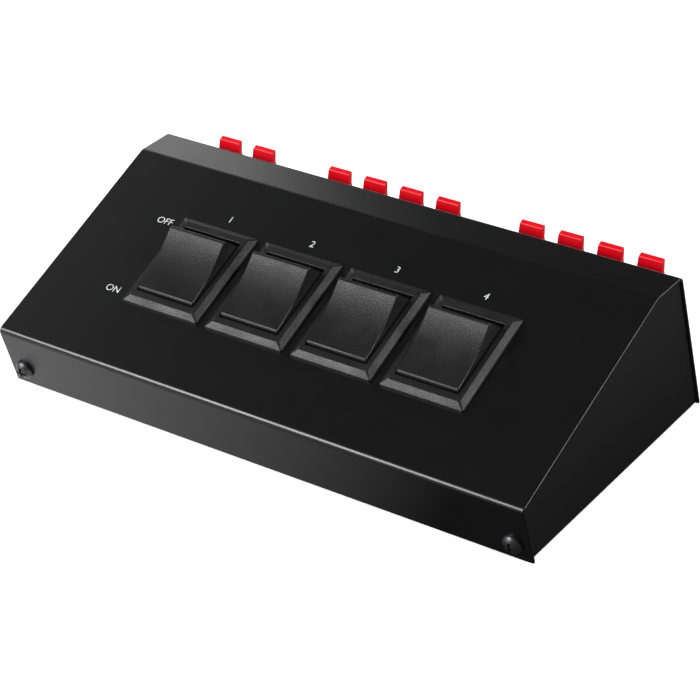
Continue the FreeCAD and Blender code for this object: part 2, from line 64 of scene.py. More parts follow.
@dataclass(frozen=True)
class Finish:
    """One finish: its colour, gloss and skin.

    Sizes are in metres. The mottle is the share by which the colour wanders.
    """

    NOISE_LOW: ClassVar[float] = 0.3
    NOISE_HIGH: ClassVar[float] = 0.7
    PIT_SHARE: ClassVar[float] = 0.6
    PEEL_SHARE: ClassVar[float] = 0.35
    SMEAR_SHARE: ClassVar[float] = 0.6
    DRAWN_SQUEEZE: ClassVar[float] = 0.04

    name: str
    colour: tuple[float, float, float]
    roughness: float
    grain: Grain
    grain_size: float
    grain_depth: float
    mottle: float = 0.15
    mottle_size: float = 0.012
    roughness_spread: float = 0.06
    metallic: float = 0.0
    specular: float = 0.5
    subsurface: float = 0.0

    def build(self) -> bpy.types.Material:
        """Make the finish's node material.

        Returns:
            The material, with its colour, roughness and bump all procedural.
        """
        material = bpy.data.materials.new(self.name)
        material.use_nodes = True
        tree = material.node_tree
        shader = tree.nodes["Principled BSDF"]
        shader.inputs["Metallic"].default_value = self.metallic
        shader.inputs["Specular IOR Level"].default_value = self.specular
        shader.inputs["Subsurface Weight"].default_value = self.subsurface
        places = tree.nodes.new("ShaderNodeTexCoord").outputs["Object"]
        self._mottle(tree, shader, places)
        self._gloss(tree, shader, places)
        self._skin(tree, shader, places)
        return material

    def _noise(
        self, tree: bpy.types.NodeTree, places: bpy.types.NodeSocket, size: float, detail: float
    ) -> bpy.types.NodeSocket:
        """Noise of a given size.

        Args:
            tree: The node tree that it goes into.
            places: The coordinates that it reads.
            size: The size of its spots in metres.
            detail: How many finer layers it has.

        Returns:
            The socket with its value.
        """
        noise = tree.nodes.new("ShaderNodeTexNoise")
        noise.inputs["Scale"].default_value = 1.0 / size
        noise.inputs["Detail"].default_value = detail
        tree.links.new(places, noise.inputs["Vector"])
        return noise.outputs["Fac"]

    def _mottle(self, tree: bpy.types.NodeTree, shader: bpy.types.Node, places: bpy.types.NodeSocket) -> None:
        """Let the colour wander a little, in broad clouds."""
        clouds = self._noise(tree, places, self.mottle_size, 3.0)
        ramp = tree.nodes.new("ShaderNodeValToRGB")
        ramp.color_ramp.elements[0].position = self.NOISE_LOW
        ramp.color_ramp.elements[1].position = self.NOISE_HIGH
        low = [channel * (1.0 - self.mottle) for channel in self.colour]
        high = [min(1.0, channel * (1.0 + self.mottle)) for channel in self.colour]
        ramp.color_ramp.elements[0].color = (*low, 1.0)
        ramp.color_ramp.elements[1].color = (*high, 1.0)
        tree.links.new(clouds, ramp.inputs["Fac"])
        tree.links.new(ramp.outputs["Color"], shader.inputs["Base Color"])

    def _gloss(self, tree: bpy.types.NodeTree, shader: bpy.types.Node, places: bpy.types.NodeSocket) -> None:
        """Vary the roughness, as handling and moulding leave it."""
        smears = self._noise(tree, places, self.mottle_size * self.SMEAR_SHARE, 4.0)
        spread = tree.nodes.new("ShaderNodeMapRange")
        spread.inputs["From Min"].default_value = self.NOISE_LOW
        spread.inputs["From Max"].default_value = self.NOISE_HIGH
        spread.inputs["To Min"].default_value = self.roughness - self.roughness_spread
        spread.inputs["To Max"].default_value = self.roughness + self.roughness_spread
        tree.links.new(smears, spread.inputs["Value"])
        tree.links.new(spread.outputs["Result"], shader.inputs["Roughness"])

    def _skin(self, tree: bpy.types.NodeTree, shader: bpy.types.Node, places: bpy.types.NodeSocket) -> None:
        """Raise the finish's grain as a bump."""
        if self.grain is Grain.SPARK:
            cells = tree.nodes.new("ShaderNodeTexVoronoi")
            cells.feature = "SMOOTH_F1"
            cells.inputs["Scale"].default_value = 1.0 / self.grain_size
            tree.links.new(places, cells.inputs["Vector"])
            pits = self._noise(tree, places, self.grain_size * self.PIT_SHARE, 3.0)
            height = self._sum(tree, cells.outputs["Distance"], pits)
        elif self.grain is Grain.DRAWN:
            stretch = tree.nodes.new("ShaderNodeMapping")
            stretch.inputs["Scale"].default_value = (self.DRAWN_SQUEEZE, 1.0, 1.0)
            tree.links.new(places, stretch.inputs["Vector"])
            height = self._noise(tree, stretch.outputs["Vector"], self.grain_size, 2.0)
        elif self.grain is Grain.PEEL:
            fine = self._noise(tree, places, self.grain_size * self.PEEL_SHARE, 2.0)
            height = self._sum(tree, self._noise(tree, places, self.grain_size, 2.0), fine)
        else:
            height = self._noise(tree, places, self.grain_size, 2.0)
        bump = tree.nodes.new("ShaderNodeBump")
        bump.inputs["Strength"].default_value = 1.0
        bump.inputs["Distance"].default_value = self.grain_depth
        tree.links.new(height, bump.inputs["Height"])
        tree.links.new(bump.outputs["Normal"], shader.inputs["Normal"])

    def _sum(
        self, tree: bpy.types.NodeTree, first: bpy.types.NodeSocket, second: bpy.types.NodeSocket
    ) -> bpy.types.NodeSocket:
        """Add two heights and return the socket with their sum."""
        total = tree.nodes.new("ShaderNodeMath")
        total.operation = "ADD"
        tree.links.new(first, total.inputs[0])
        tree.links.new(second, total.inputs[1])
        return total.outputs["Value"]


@dataclass
class Palette:
    """Every finish of the console, built once."""

    cover_coat: Finish = Finish(
        "cover_powder_coat", (0.0030, 0.0030, 0.0032), 0.30, Grain.PEEL, 0.0006, 0.000010,
        mottle=0.08, roughness_spread=0.015, specular=0.35,
    )
    chassis_coat: Finish = Finish(
        "chassis_powder_coat", (0.0045, 0.0045, 0.0048), 0.34, Grain.PEEL, 0.0006, 0.000010,
        mottle=0.08, roughness_spread=0.015, specular=0.35,
    )
    bezel_texture: Finish = Finish(
        "bezel_spark_texture", (0.009, 0.009, 0.0094), 0.42, Grain.SPARK, 0.00036, 0.00004, specular=0.27
    )
    bezel_smooth: Finish = Finish(
        "bezel_smooth", (0.0065, 0.0065, 0.0068), 0.40, Grain.SPARK, 0.00045, 0.00002, specular=0.4
    )
    rocker_texture: Finish = Finish(
        "rocker_spark_texture", (0.008, 0.008, 0.0083), 0.38, Grain.SPARK, 0.00036, 0.000026, specular=0.22
    )
    rocker_smooth: Finish = Finish(
        "rocker_smooth", (0.0075, 0.0075, 0.0078), 0.34, Grain.MOULD, 0.002, 0.00001, specular=0.45
    )
    lever_red: Finish = Finish(
        "lever_red_plastic", (0.61, 0.001, 0.008), 0.40, Grain.MOULD, 0.0015, 0.00001, mottle=0.05, specular=0.22
    )
    lever_black: Finish = Finish(
        "lever_black_plastic", (0.012, 0.012, 0.0125), 0.36, Grain.MOULD, 0.0015, 0.00001, specular=0.4
    )
    block_plastic: Finish = Finish(
        "terminal_plastic", (0.014, 0.014, 0.0145), 0.48, Grain.SPARK, 0.00035, 0.00003, specular=0.4
    )
    screw_black: Finish = Finish(
        "blackened_screw", (0.055, 0.055, 0.057), 0.40, Grain.MOULD, 0.0008, 0.00002, metallic=0.8
    )
    rivet_black: Finish = Finish(
        "rivet_black", (0.030, 0.030, 0.032), 0.34, Grain.MOULD, 0.0008, 0.00002, metallic=0.5
    )
    rubber: Finish = Finish("foot_rubber", (0.022, 0.022, 0.022), 0.72, Grain.PEEL, 0.0005, 0.00002)
    brass: Finish = Finish("contact_brass", (0.72, 0.52, 0.22), 0.28, Grain.DRAWN, 0.0002, 0.00001, metallic=1.0)
    tinned: Finish = Finish("clip_steel", (0.66, 0.66, 0.67), 0.30, Grain.DRAWN, 0.0002, 0.00001, metallic=1.0)
    nylon: Finish = Finish("plunger_nylon", (0.72, 0.70, 0.64), 0.45, Grain.MOULD, 0.001, 0.00001, subsurface=0.1)
    ink: Finish = Finish("legend_ink", (0.56, 0.57, 0.58), 0.55, Grain.PEEL, 0.0004, 0.000006, mottle=0.06)
    built: dict[str, bpy.types.Material] = field(default_factory=dict)

    def get(self, finish: Finish) -> bpy.types.Material:
        """Return a finish's material, and build it on first use."""
        if finish.name not in self.built:
            self.built[finish.name] = finish.build()
        return self.built[finish.name]


@dataclass(frozen=True)
class Wall:
    """A flat wall of the console: local Y runs up it and local Z points out of it."""

    origin: Vector
    up: Vector
    out: Vector

    def place(self, x: float = 0.0, y: float = 0.0, z: float = 0.0) -> Matrix:
        """Matrix from local millimetres to the frame.

        Args:
            x: Distance along the wall in millimetres.
            y: Distance up the wall in millimetres.
            z: Distance out of the wall in millimetres.

        Returns:
            The matrix that places a local mesh.
        """
        across = self.up.cross(self.out)
        turn = Matrix((across, self.up, self.out)).transposed().to_4x4()
        start = self.origin + (across * x + self.up * y + self.out * z) * MILLIMETRE
        return Matrix.Translation(start) @ turn @ Matrix.Scale(MILLIMETRE, 4)


@dataclass(frozen=True)
class Angles:
    """Leans of the console's walls in degrees."""

    front_lean: float = 15.3
    slope: float = 22.1
    back_lean: float = 15.5


class Layout:
    """Where the walls, switches and levers are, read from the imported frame."""

    pivot_depth: ClassVar[float] = 2.9
    switch_from_bend: ClassVar[float] = 37.1
    slope_length: ClassVar[float] = 72.0
    top_band_length: ClassVar[float] = 12.9
    front_wall_length: ClassVar[float] = 19.5
    back_wall_length: ClassVar[float] = 46.7
    lever_pivot_y: ClassVar[float] = 6.6
    lever_pivot_z: ClassVar[float] = 5.2
    block_windows: ClassVar[tuple[tuple[float, float], ...]] = ((-61.8, 21.55), (-10.4, 46.05), (53.4, 46.05))

    def __init__(self) -> None:
        """Read the joints and work out each wall's place."""
        self.joints = {joint["name"]: joint for joint in frame["joints"]}
        angles = Angles()
        slope_up = self._direction(angles.slope)
        slope_out = self._direction(angles.slope + 90.0)
        pivot = self.pivot("rocker_1_hinge")
        centre = Vector((0.0, pivot.y, pivot.z)) + slope_out * self.pivot_depth * MILLIMETRE
        self.slope = Wall(centre, slope_up, slope_out)
        front_up = self._direction(angles.front_lean + 90.0)
        self.front_bend = centre - slope_up * self.switch_from_bend * MILLIMETRE
        self.front = Wall(self.front_bend, front_up, self._direction(angles.front_lean + 180.0))
        self.kink = self.front_bend + slope_up * self.slope_length * MILLIMETRE
        self.back_bend = self.kink + Vector((0.0, self.top_band_length * MILLIMETRE, 0.0))
        back_up = self._direction(angles.back_lean + 90.0)
        back_out = self._direction(angles.back_lean)
        red = self.pivot("lever_red_01_hinge")
        reach = (back_up * self.lever_pivot_y + back_out * self.lever_pivot_z) * MILLIMETRE
        block = Vector((0.0, red.y, red.z)) - reach
        self.back = Wall(block, back_up, back_out)

    @staticmethod
    def _direction(angle: float) -> Vector:
        """Unit vector in the Y-Z plane at an angle in degrees from +Y."""
        turn = math.radians(angle)
        return Vector((0.0, math.cos(turn), math.sin(turn)))

    def pivot(self, joint: str) -> Vector:
        """Place of a joint's axis in the frame."""
        return Vector(self.joints[joint]["pos_m"])


class Draft:
    """A mesh in the making, in millimetres, with the finishes of its faces."""

    CORNER_STEPS: ClassVar[int] = 4
    SHARP_DEGREES: ClassVar[float] = 32.0
    NORMAL_WEIGHT: ClassVar[int] = 80

    def __init__(self, *finishes: bpy.types.Material) -> None:
        """Start an empty mesh.

        Args:
            finishes: The materials, in the order of the faces' material numbers.
        """
        self.mesh = bmesh.new()
        self.finishes = finishes

    def ring(self, width: float, length: float, z: float, corner: float = 0.0) -> list[bmesh.types.BMEdge]:
        """Add a rectangle of edges at a height.

        Args:
            width: Its size along X.
            length: Its size along Y.
            z: Its height.
            corner: The radius of its corners.

        Returns:
            The edges of the ring.
        """
        grown = bmesh.ops.create_grid(self.mesh, x_segments=1, y_segments=1, size=0.5)
        verts = grown["verts"]
        bmesh.ops.scale(self.mesh, verts=verts, vec=(width, length, 1.0))
        bmesh.ops.translate(self.mesh, verts=verts, vec=(0.0, 0.0, z))
        face = verts[0].link_faces[0]
        if corner > 0.0:
            round_off = bmesh.ops.bevel(
                self.mesh, geom=list(face.verts), offset=corner, segments=self.CORNER_STEPS, profile=0.5,
                affect="VERTICES", material=-1,
            )
            touched = round_off["faces"] + list(round_off["verts"][0].link_faces)
            face = max(touched, key=lambda item: item.calc_area())
        edges = list(face.edges)
        bmesh.ops.delete(self.mesh, geom=[face], context="FACES_ONLY")
        return edges

    def skin(self, rings: list[list[bmesh.types.BMEdge]], close: bool = True) -> list[list[bmesh.types.BMFace]]:
        """Join rings in their order.

        Args:
            rings: The rings of edges.
            close: Whether the first and the last ring get a face.

        Returns:
            The faces between each pair of rings.
        """
        bands = []
        for first, second in zip(rings, rings[1:]):
            bands.append(bmesh.ops.bridge_loops(self.mesh, edges=first + second)["faces"])
        if close:
            for ring in (rings[0], rings[-1]):
                bmesh.ops.contextual_create(self.mesh, geom=ring)
        return bands

    def outline(self, points: list[tuple[float, float]], x: float) -> bmesh.types.BMFace:
        """Add a face in the Y-Z plane at an X position, through the given points."""
        return self.mesh.faces.new([self.mesh.verts.new((x, y, z)) for y, z in points])

    def stretch(self, face: bmesh.types.BMFace, width: float) -> None:
        """Extrude a face along X."""
        grown = bmesh.ops.extrude_face_region(self.mesh, geom=[face])
        verts = [item for item in grown["geom"] if isinstance(item, bmesh.types.BMVert)]
        bmesh.ops.translate(self.mesh, verts=verts, vec=(width, 0.0, 0.0))

    def round_edges(self, edges: list[bmesh.types.BMEdge], radius: float, segments: int = 3) -> None:
        """Bevel edges to a rounded profile."""
        bmesh.ops.bevel(
            self.mesh, geom=edges, offset=radius, segments=segments, profile=0.5, affect="EDGES", material=-1
        )

    def rod(self, radius: float, length: float, centre: tuple[float, float, float], sides: int = 24) -> None:
        """Add a round bar along X about a centre."""
        turn = Matrix.Translation(centre) @ Matrix.Rotation(math.pi / 2, 4, "Y")
        bmesh.ops.create_cone(
            self.mesh, cap_ends=True, segments=sides, radius1=radius, radius2=radius, depth=length, matrix=turn
        )

    def finish(self, name: str, place: Matrix, edge_round: float = 0.0, steps: int = 2) -> bpy.types.Object:
        """Turn the mesh into a piece of the scene.

        Args:
            name: The piece's name.
            place: The matrix from local millimetres to the frame.
            edge_round: The width in millimetres by which sharp edges are broken.
            steps: How many faces such a broken edge has.

        Returns:
            The new object, at the origin.
        """
        bmesh.ops.recalc_face_normals(self.mesh, faces=self.mesh.faces)
        self.mesh.transform(place)
        for face in self.mesh.faces:
            face.smooth = True
        data = bpy.data.meshes.new(name)
        self.mesh.to_mesh(data)
        self.mesh.free()
        for material in self.finishes:
            data.materials.append(material)
        piece = bpy.data.objects.new(name, data)
        bpy.context.scene.collection.objects.link(piece)
        if edge_round > 0.0:
            broken = piece.modifiers.new("broken_edges", "BEVEL")
            broken.width = edge_round * MILLIMETRE
            broken.segments = steps
            broken.limit_method = "ANGLE"
            broken.angle_limit = math.radians(self.SHARP_DEGREES)
        weighted = piece.modifiers.new("even_shading", "WEIGHTED_NORMAL")
        weighted.weight = self.NORMAL_WEIGHT
        return piece


def hand_over(piece: bpy.types.Object, body: str, slot: str, *nodes: str) -> None:
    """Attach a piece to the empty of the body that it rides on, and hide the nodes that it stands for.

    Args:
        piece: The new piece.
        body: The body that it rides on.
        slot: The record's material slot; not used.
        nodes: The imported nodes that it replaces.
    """
    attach(piece, body)
    if nodes:
        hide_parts(*nodes)
    log.info("built %s on %s", piece.name, body)


@dataclass
class Cover:
    """The bent sheet steel cover, with its windows."""

    width: float = 170.0
    sheet: float = 1.0
    bends: tuple[float, float, float] = (1.6, 3.0, 2.0)
    bend_steps: int = 8
    switch_window: tuple[float, float] = (21.9, 29.9)
    boss_window_length: float = 16.1
    edge_round: float = 0.42
    edge_steps: int = 4
    cut_edge_degrees: float = 50.0

    def build(self, layout: Layout, palette: Palette, switches: list[float]) -> None:
        """Bend the sheet, cut its windows and hand it over.

        Args:
            layout: Where the walls and the terminal blocks' windows are.
            palette: The finishes.
            switches: X of each switch in millimetres.
        """
        draft = Draft(palette.get(palette.cover_coat))
        mesh = draft.mesh
        corners = [
            layout.front_bend - layout.front.up * layout.front_wall_length * MILLIMETRE,
            layout.front_bend,
            layout.kink,
            layout.back_bend,
            layout.back_bend - layout.back.up * layout.back_wall_length * MILLIMETRE,
        ]
        half = self.width / 2
        verts = [mesh.verts.new(corner / MILLIMETRE - Vector((half, 0.0, 0.0))) for corner in corners]
        edges = [mesh.edges.new(pair) for pair in zip(verts, verts[1:])]
        grown = bmesh.ops.extrude_edge_only(mesh, edges=edges)
        moved = [item for item in grown["geom"] if isinstance(item, bmesh.types.BMVert)]
        bmesh.ops.translate(mesh, verts=moved, vec=(self.width, 0.0, 0.0))
        for corner, radius in zip(corners[1:4], self.bends):
            self._bend(draft, corner / MILLIMETRE, radius)
        width, length = self.switch_window
        for x in switches:
            self._window(draft, layout.slope, x, width, length)
        for x, boss_width in layout.block_windows:
            self._window(draft, layout.back, -x, boss_width, self.boss_window_length)
        piece = draft.finish("cover_shell", Matrix.Scale(MILLIMETRE, 4))
        self._thicken(piece)
        hand_over(piece, ROOT_BODY, "cover_powder_coat", "top_cover")

    def _bend(self, draft: Draft, corner: Vector, radius: float) -> None:
        """Round the fold along X through a corner of the outline."""
        fold = []
        for edge in draft.mesh.edges:
            along_x = abs(edge.verts[0].co.x - edge.verts[1].co.x) > self.width * 0.9
            middle = (edge.verts[0].co + edge.verts[1].co) / 2
            if along_x and math.hypot(middle.y - corner.y, middle.z - corner.z) < TOUCH:
                fold.append(edge)
        turn = fold[0].calc_face_angle()
        draft.round_edges(fold, radius * math.tan(turn / 2), self.bend_steps)

    def _window(self, draft: Draft, wall: Wall, x: float, width: float, length: float) -> None:
        """Cut a rectangular window through a wall.

        Args:
            draft: The sheet.
            wall: The wall that is cut.
            x: The window's centre along the wall in millimetres.
            width: Its size along the wall.
            length: Its size up the wall.
        """
        across = wall.up.cross(wall.out)
        origin = wall.origin / MILLIMETRE
        centre = origin + across * x
        half_width = width / 2
        half_length = length / 2
        for direction, distance in ((across, half_width), (wall.up, half_length)):
            for side in (-1.0, 1.0):
                faces = self._flat_faces(draft, wall, origin)
                geom = faces + list({edge for face in faces for edge in face.edges})
                geom += list({vert for face in faces for vert in face.verts})
                point = centre + direction * distance * side
                bmesh.ops.bisect_plane(draft.mesh, geom=geom, dist=0.0001, plane_co=point, plane_no=direction)
        inside = []
        for face in self._flat_faces(draft, wall, origin):
            offset = face.calc_center_median() - centre
            if abs(offset.dot(across)) < half_width and abs(offset.dot(wall.up)) < half_length:
                inside.append(face)
        bmesh.ops.delete(draft.mesh, geom=inside, context="FACES")

    def _flat_faces(self, draft: Draft, wall: Wall, origin: Vector) -> list[bmesh.types.BMFace]:
        """Faces of the sheet that lie in a wall."""
        draft.mesh.normal_update()
        found = []
        for face in draft.mesh.faces:
            flush = abs((face.calc_center_median() - origin).dot(wall.out)) < 0.02
            if flush and abs(face.normal.dot(wall.out)) > 0.999:
                found.append(face)
        return found

    def _thicken(self, piece: bpy.types.Object) -> None:
        """Give the sheet its thickness inwards, break its cut edges and put the even shading last."""
        thickness = piece.modifiers.new("sheet", "SOLIDIFY")
        thickness.thickness = self.sheet * MILLIMETRE
        thickness.offset = -1.0
        thickness.use_even_offset = True
        broken = piece.modifiers.new("broken_edges", "BEVEL")
        broken.width = self.edge_round * MILLIMETRE
        broken.segments = self.edge_steps
        broken.limit_method = "ANGLE"
        broken.angle_limit = math.radians(self.cut_edge_degrees)
        piece.modifiers.move(0, len(piece.modifiers) - 1)


@dataclass
class Bezel:
    """A switch housing: chamfered bezel, open well and box below the panel."""

    width: float = 25.7
    length: float = 31.9
    height: float = 2.0
    skirt: float = 0.8
    chamfer: float = 1.7
    opening: tuple[float, float] = (19.4, 24.4)
    box: tuple[float, float] = (21.6, 29.6)
    box_depth: float = 15.0
    well_depth: float = 13.4
    outer_corner: float = 0.5
    inner_corner: float = 0.7
    well_corner: float = 0.4
    edge_round: float = 0.16

    def build(self, index: int, place: Matrix, palette: Palette) -> None:
        """Build one housing and hand it over.

        Args:
            index: The switch's number.
            place: The matrix of its middle on the slope.
            palette: The finishes.
        """
        draft = Draft(palette.get(palette.bezel_smooth), palette.get(palette.bezel_texture))
        top_width = self.width - 2 * self.chamfer
        top_length = self.length - 2 * self.chamfer
        rings = [
            draft.ring(*self.box, -self.box_depth, self.outer_corner),
            draft.ring(*self.box, 0.0, self.outer_corner),
            draft.ring(self.width, self.length, 0.0, self.outer_corner),
            draft.ring(self.width, self.length, self.skirt, self.outer_corner),
            draft.ring(top_width, top_length, self.height, self.inner_corner),
            draft.ring(*self.opening, self.height, self.well_corner),
            draft.ring(*self.opening, -self.well_depth, self.well_corner),
        ]
        bands = draft.skin(rings)
        for face in bands[2] + bands[3]:
            face.material_index = 1
        piece = draft.finish(f"switch_bezel_{index}", place, self.edge_round)
        hand_over(piece, ROOT_BODY, "bezel_plastic", f"switch_housing_{index}")


@dataclass
class RockerCap:
    """A rocker with a hollowed top, at its rest tilt."""

    width: float = 18.8
    ridge_half: float = 9.92
    ridge_height: float = 8.53
    hollow: float = 1.1
    end_radius: float = 11.9
    shoulder: float = 2.1
    skirt: float = 2.5
    tilt: float = 14.6
    ridge_round: float = 0.75
    side_round: float = 0.3
    top_steps: int = 20
    end_steps: int = 4
    ridge_steps: int = 5
    side_steps: int = 3
    edge_round: float = 0.1
    trunnion_radius: float = 1.5
    trunnion_length: float = 21.2

    def _profile(self) -> list[tuple[float, float]]:
        """Points of the cap's side, from the left ridge over the top and around below."""
        top_radius = (self.ridge_half ** 2 + self.hollow ** 2) / (2 * self.hollow)
        centre_z = self.ridge_height - self.hollow + top_radius
        reach = math.asin(self.ridge_half / top_radius)
        points = []
        for step in range(self.top_steps + 1):
            angle = reach * (2 * step / self.top_steps - 1)
            points.append((top_radius * math.sin(angle), centre_z - top_radius * math.cos(angle)))
        start = math.asin(self.shoulder / self.end_radius)
        stop = -math.asin(self.skirt / self.end_radius)
        end = []
        for step in range(self.end_steps + 1):
            angle = start + (stop - start) * step / self.end_steps
            end.append((self.end_radius * math.cos(angle), self.end_radius * math.sin(angle)))
        points += end
        points += [(-y, z) for y, z in reversed(end)]
        return points

    def build(self, index: int, place: Matrix, palette: Palette) -> None:
        """Build one cap and hand it over.

        Args:
            index: The switch's number.
            place: The matrix of its pivot on the slope.
            palette: The finishes.
        """
        draft = Draft(palette.get(palette.rocker_smooth), palette.get(palette.rocker_texture))
        half = self.width / 2
        draft.stretch(draft.outline(self._profile(), -half), self.width)
        ridges = [edge for edge in draft.mesh.edges if self._is_ridge(edge)]
        draft.round_edges(ridges, self.ridge_round, self.ridge_steps)
        draft.mesh.normal_update()
        top = [edge for edge in draft.mesh.edges if self._is_top_rim(edge, half)]
        draft.round_edges(top, self.side_round, self.side_steps)
        draft.mesh.normal_update()
        for face in draft.mesh.faces:
            centre = face.calc_center_median()
            is_top = centre.z > self.ridge_height - self.hollow - 0.4 and abs(face.normal.z) > 0.85
            face.material_index = 1 if is_top else 0
        draft.rod(self.trunnion_radius, self.trunnion_length, (0.0, 0.0, 0.0))
        tilt = Matrix.Rotation(math.radians(self.tilt), 4, "X")
        piece = draft.finish(f"rocker_cap_{index}", place @ tilt, self.edge_round)
        hand_over(piece, f"rocker_{index}", "rocker_plastic", f"rocker_{index}")

    def _is_ridge(self, edge: bmesh.types.BMEdge) -> bool:
        """True for an edge along X at the top of either end."""
        along = abs(edge.verts[0].co.x - edge.verts[1].co.x) >= TOUCH
        at_end = abs(abs(edge.verts[0].co.y) - self.ridge_half) < TOUCH
        return along and at_end and min(vert.co.z for vert in edge.verts) > self.shoulder + 1.0

    def _is_top_rim(self, edge: bmesh.types.BMEdge, half: float) -> bool:
        """True for an edge between the hollowed top and a side face."""
        on_side = all(abs(abs(vert.co.x) - half) < 0.001 for vert in edge.verts)
        high = min(vert.co.z for vert in edge.verts) > self.ridge_height - self.hollow - self.ridge_round
        flat = abs(edge.verts[0].co.x - edge.verts[1].co.x) < TOUCH
        return on_side and high and flat and len(edge.link_faces) == 2


class Row(Enum):
    """The two rows of levers on a terminal block."""

    RED = 1
    BLACK = -1


@dataclass
class TerminalLever:
    """A lever of a wire terminal: tapered tab, hub and pins."""

    width: float = 7.6
    front: float = 4.4
    tip_y: float = 16.2
    tip_front: float = 5.85
    tip_width: float = 7.2
    lean: float = 24.5
    top_tilt: float = 7.5
    top_length: float = 1.6
    tip_round: float = 0.3
    tip_steps: int = 4
    hub_radius: float = 1.5
    pin_radius: float = 0.8
    pin_length: float = 10.4
    tail_reach: float = 1.7
    tail_thickness: float = 1.2
    edge_round: float = 0.1
    pin_sides: int = 16

    def _outline(self, base: float) -> list[tuple[float, float]]:
        """Side outline of the tab: a straight part from the hub and a finger tip that leans outwards.

        Args:
            base: Y of the hub.

        Returns:
            The points in the Y-Z plane, in millimetres.
        """
        lean = math.radians(self.lean)
        tilt = math.radians(self.top_tilt)
        tip_back_y = self.tip_y + self.top_length * math.sin(tilt)
        tip_back_z = self.tip_front + self.top_length * math.cos(tilt)
        back = self.front + self.top_length * math.cos(lean - tilt)
        return [
            (base, self.front),
            (self.tip_y - (self.tip_front - self.front) / math.tan(lean), self.front),
            (self.tip_y, self.tip_front),
            (tip_back_y, tip_back_z),
            (tip_back_y - (tip_back_z - back) / math.tan(lean), back),
            (base, back),
        ]

    def build(self, row: Row, index: int, layout: Layout, palette: Palette) -> None:
        """Build one lever and hand it over.

        Args:
            row: The row that it belongs to.
            index: Its number from the left.
            layout: Where the back wall and the joints are.
            palette: The finishes.
        """
        finish = palette.lever_red if row is Row.RED else palette.lever_black
        draft = Draft(palette.get(finish))
        draft.stretch(draft.outline(self._outline(layout.lever_pivot_y), -self.width / 2), self.width)
        tips = [vert for vert in draft.mesh.verts if vert.co.y > self.tip_y - TOUCH]
        bmesh.ops.scale(draft.mesh, verts=tips, vec=(self.tip_width / self.width, 1.0, 1.0))
        edges = [edge for edge in draft.mesh.edges if all(vert in tips for vert in edge.verts)]
        draft.round_edges(edges, self.tip_round, self.tip_steps)
        centre = (0.0, layout.lever_pivot_y, layout.lever_pivot_z)
        draft.rod(self.hub_radius, self.width, centre)
        draft.rod(self.pin_radius, self.pin_length, centre, self.pin_sides)
        tail = bmesh.ops.create_cube(draft.mesh, size=1.0)["verts"]
        bmesh.ops.scale(draft.mesh, verts=tail, vec=(self.width, self.tail_reach, self.tail_thickness))
        tail_middle = (0.0, layout.lever_pivot_y - self.tail_reach / 2, layout.lever_pivot_z)
        bmesh.ops.translate(draft.mesh, verts=tail, vec=tail_middle)
        colour = row.name.lower()
        node = f"lever_{colour}_{index:02d}"
        x = layout.pivot(f"{node}_hinge").x / MILLIMETRE
        place = layout.back.place(-x)
        if row is Row.BLACK:
            place = place @ Matrix.Rotation(math.pi, 4, "Z")
        piece = draft.finish(f"{colour}_lever_{index:02d}", place, self.edge_round)
        hand_over(piece, node, f"lever_{colour}_plastic", node)


@dataclass
class Legends:
    """Printed words and numbers on the slope."""

    cap_height: float = 2.15
    ink_height: float = 0.02
    word_x: float = -61.1
    off_y: float = 13.4
    on_y: float = -12.9
    number_y: float = 20.15
    number_shift: float = -0.4
    number_spread: float = 0.984

    def build(self, layout: Layout, palette: Palette, switches: list[float]) -> None:
        """Print the words beside the first switch and a number above each.

        Args:
            layout: Where the slope is.
            palette: The finishes.
            switches: X of each switch in millimetres.
        """
        self._print("OFF", self.word_x, self.off_y, layout, palette)
        self._print("ON", self.word_x, self.on_y, layout, palette)
        for number, x in enumerate(switches, 1):
            self._print(str(number), x * self.number_spread + self.number_shift, self.number_y, layout, palette)

    def _print(self, text: str, x: float, y: float, layout: Layout, palette: Palette) -> None:
        """Print one word, centred on a place of the slope."""
        curve = bpy.data.curves.new(f"legend_{text}", "FONT")
        curve.body = text
        curve.align_x = "CENTER"
        curve.align_y = "BOTTOM_BASELINE"
        curve.extrude = self.ink_height / 2
        writer = bpy.data.objects.new("writer", curve)
        bpy.context.scene.collection.objects.link(writer)
        bpy.context.view_layer.update()
        data = bpy.data.meshes.new_from_object(writer)
        bpy.data.objects.remove(writer)
        draft = Draft(palette.get(palette.ink))
        draft.mesh.from_mesh(data)
        bpy.data.meshes.remove(data)
        low = Vector([min(vert.co[axis] for vert in draft.mesh.verts) for axis in range(2)])
        high = Vector([max(vert.co[axis] for vert in draft.mesh.verts) for axis in range(2)])
        scale = self.cap_height / (high.y - low.y)
        middle = (low + high) / 2
        bmesh.ops.translate(draft.mesh, verts=draft.mesh.verts, vec=(-middle.x, -middle.y, 0.0))
        bmesh.ops.scale(draft.mesh, verts=draft.mesh.verts, vec=(scale, scale, 1.0))
        bmesh.ops.remove_doubles(draft.mesh, verts=draft.mesh.verts, dist=0.001)
        piece = draft.finish(f"legend_{text.lower()}", layout.slope.place(x, y, self.ink_height / 2))
        hand_over(piece, ROOT_BODY, "cover_powder_coat")


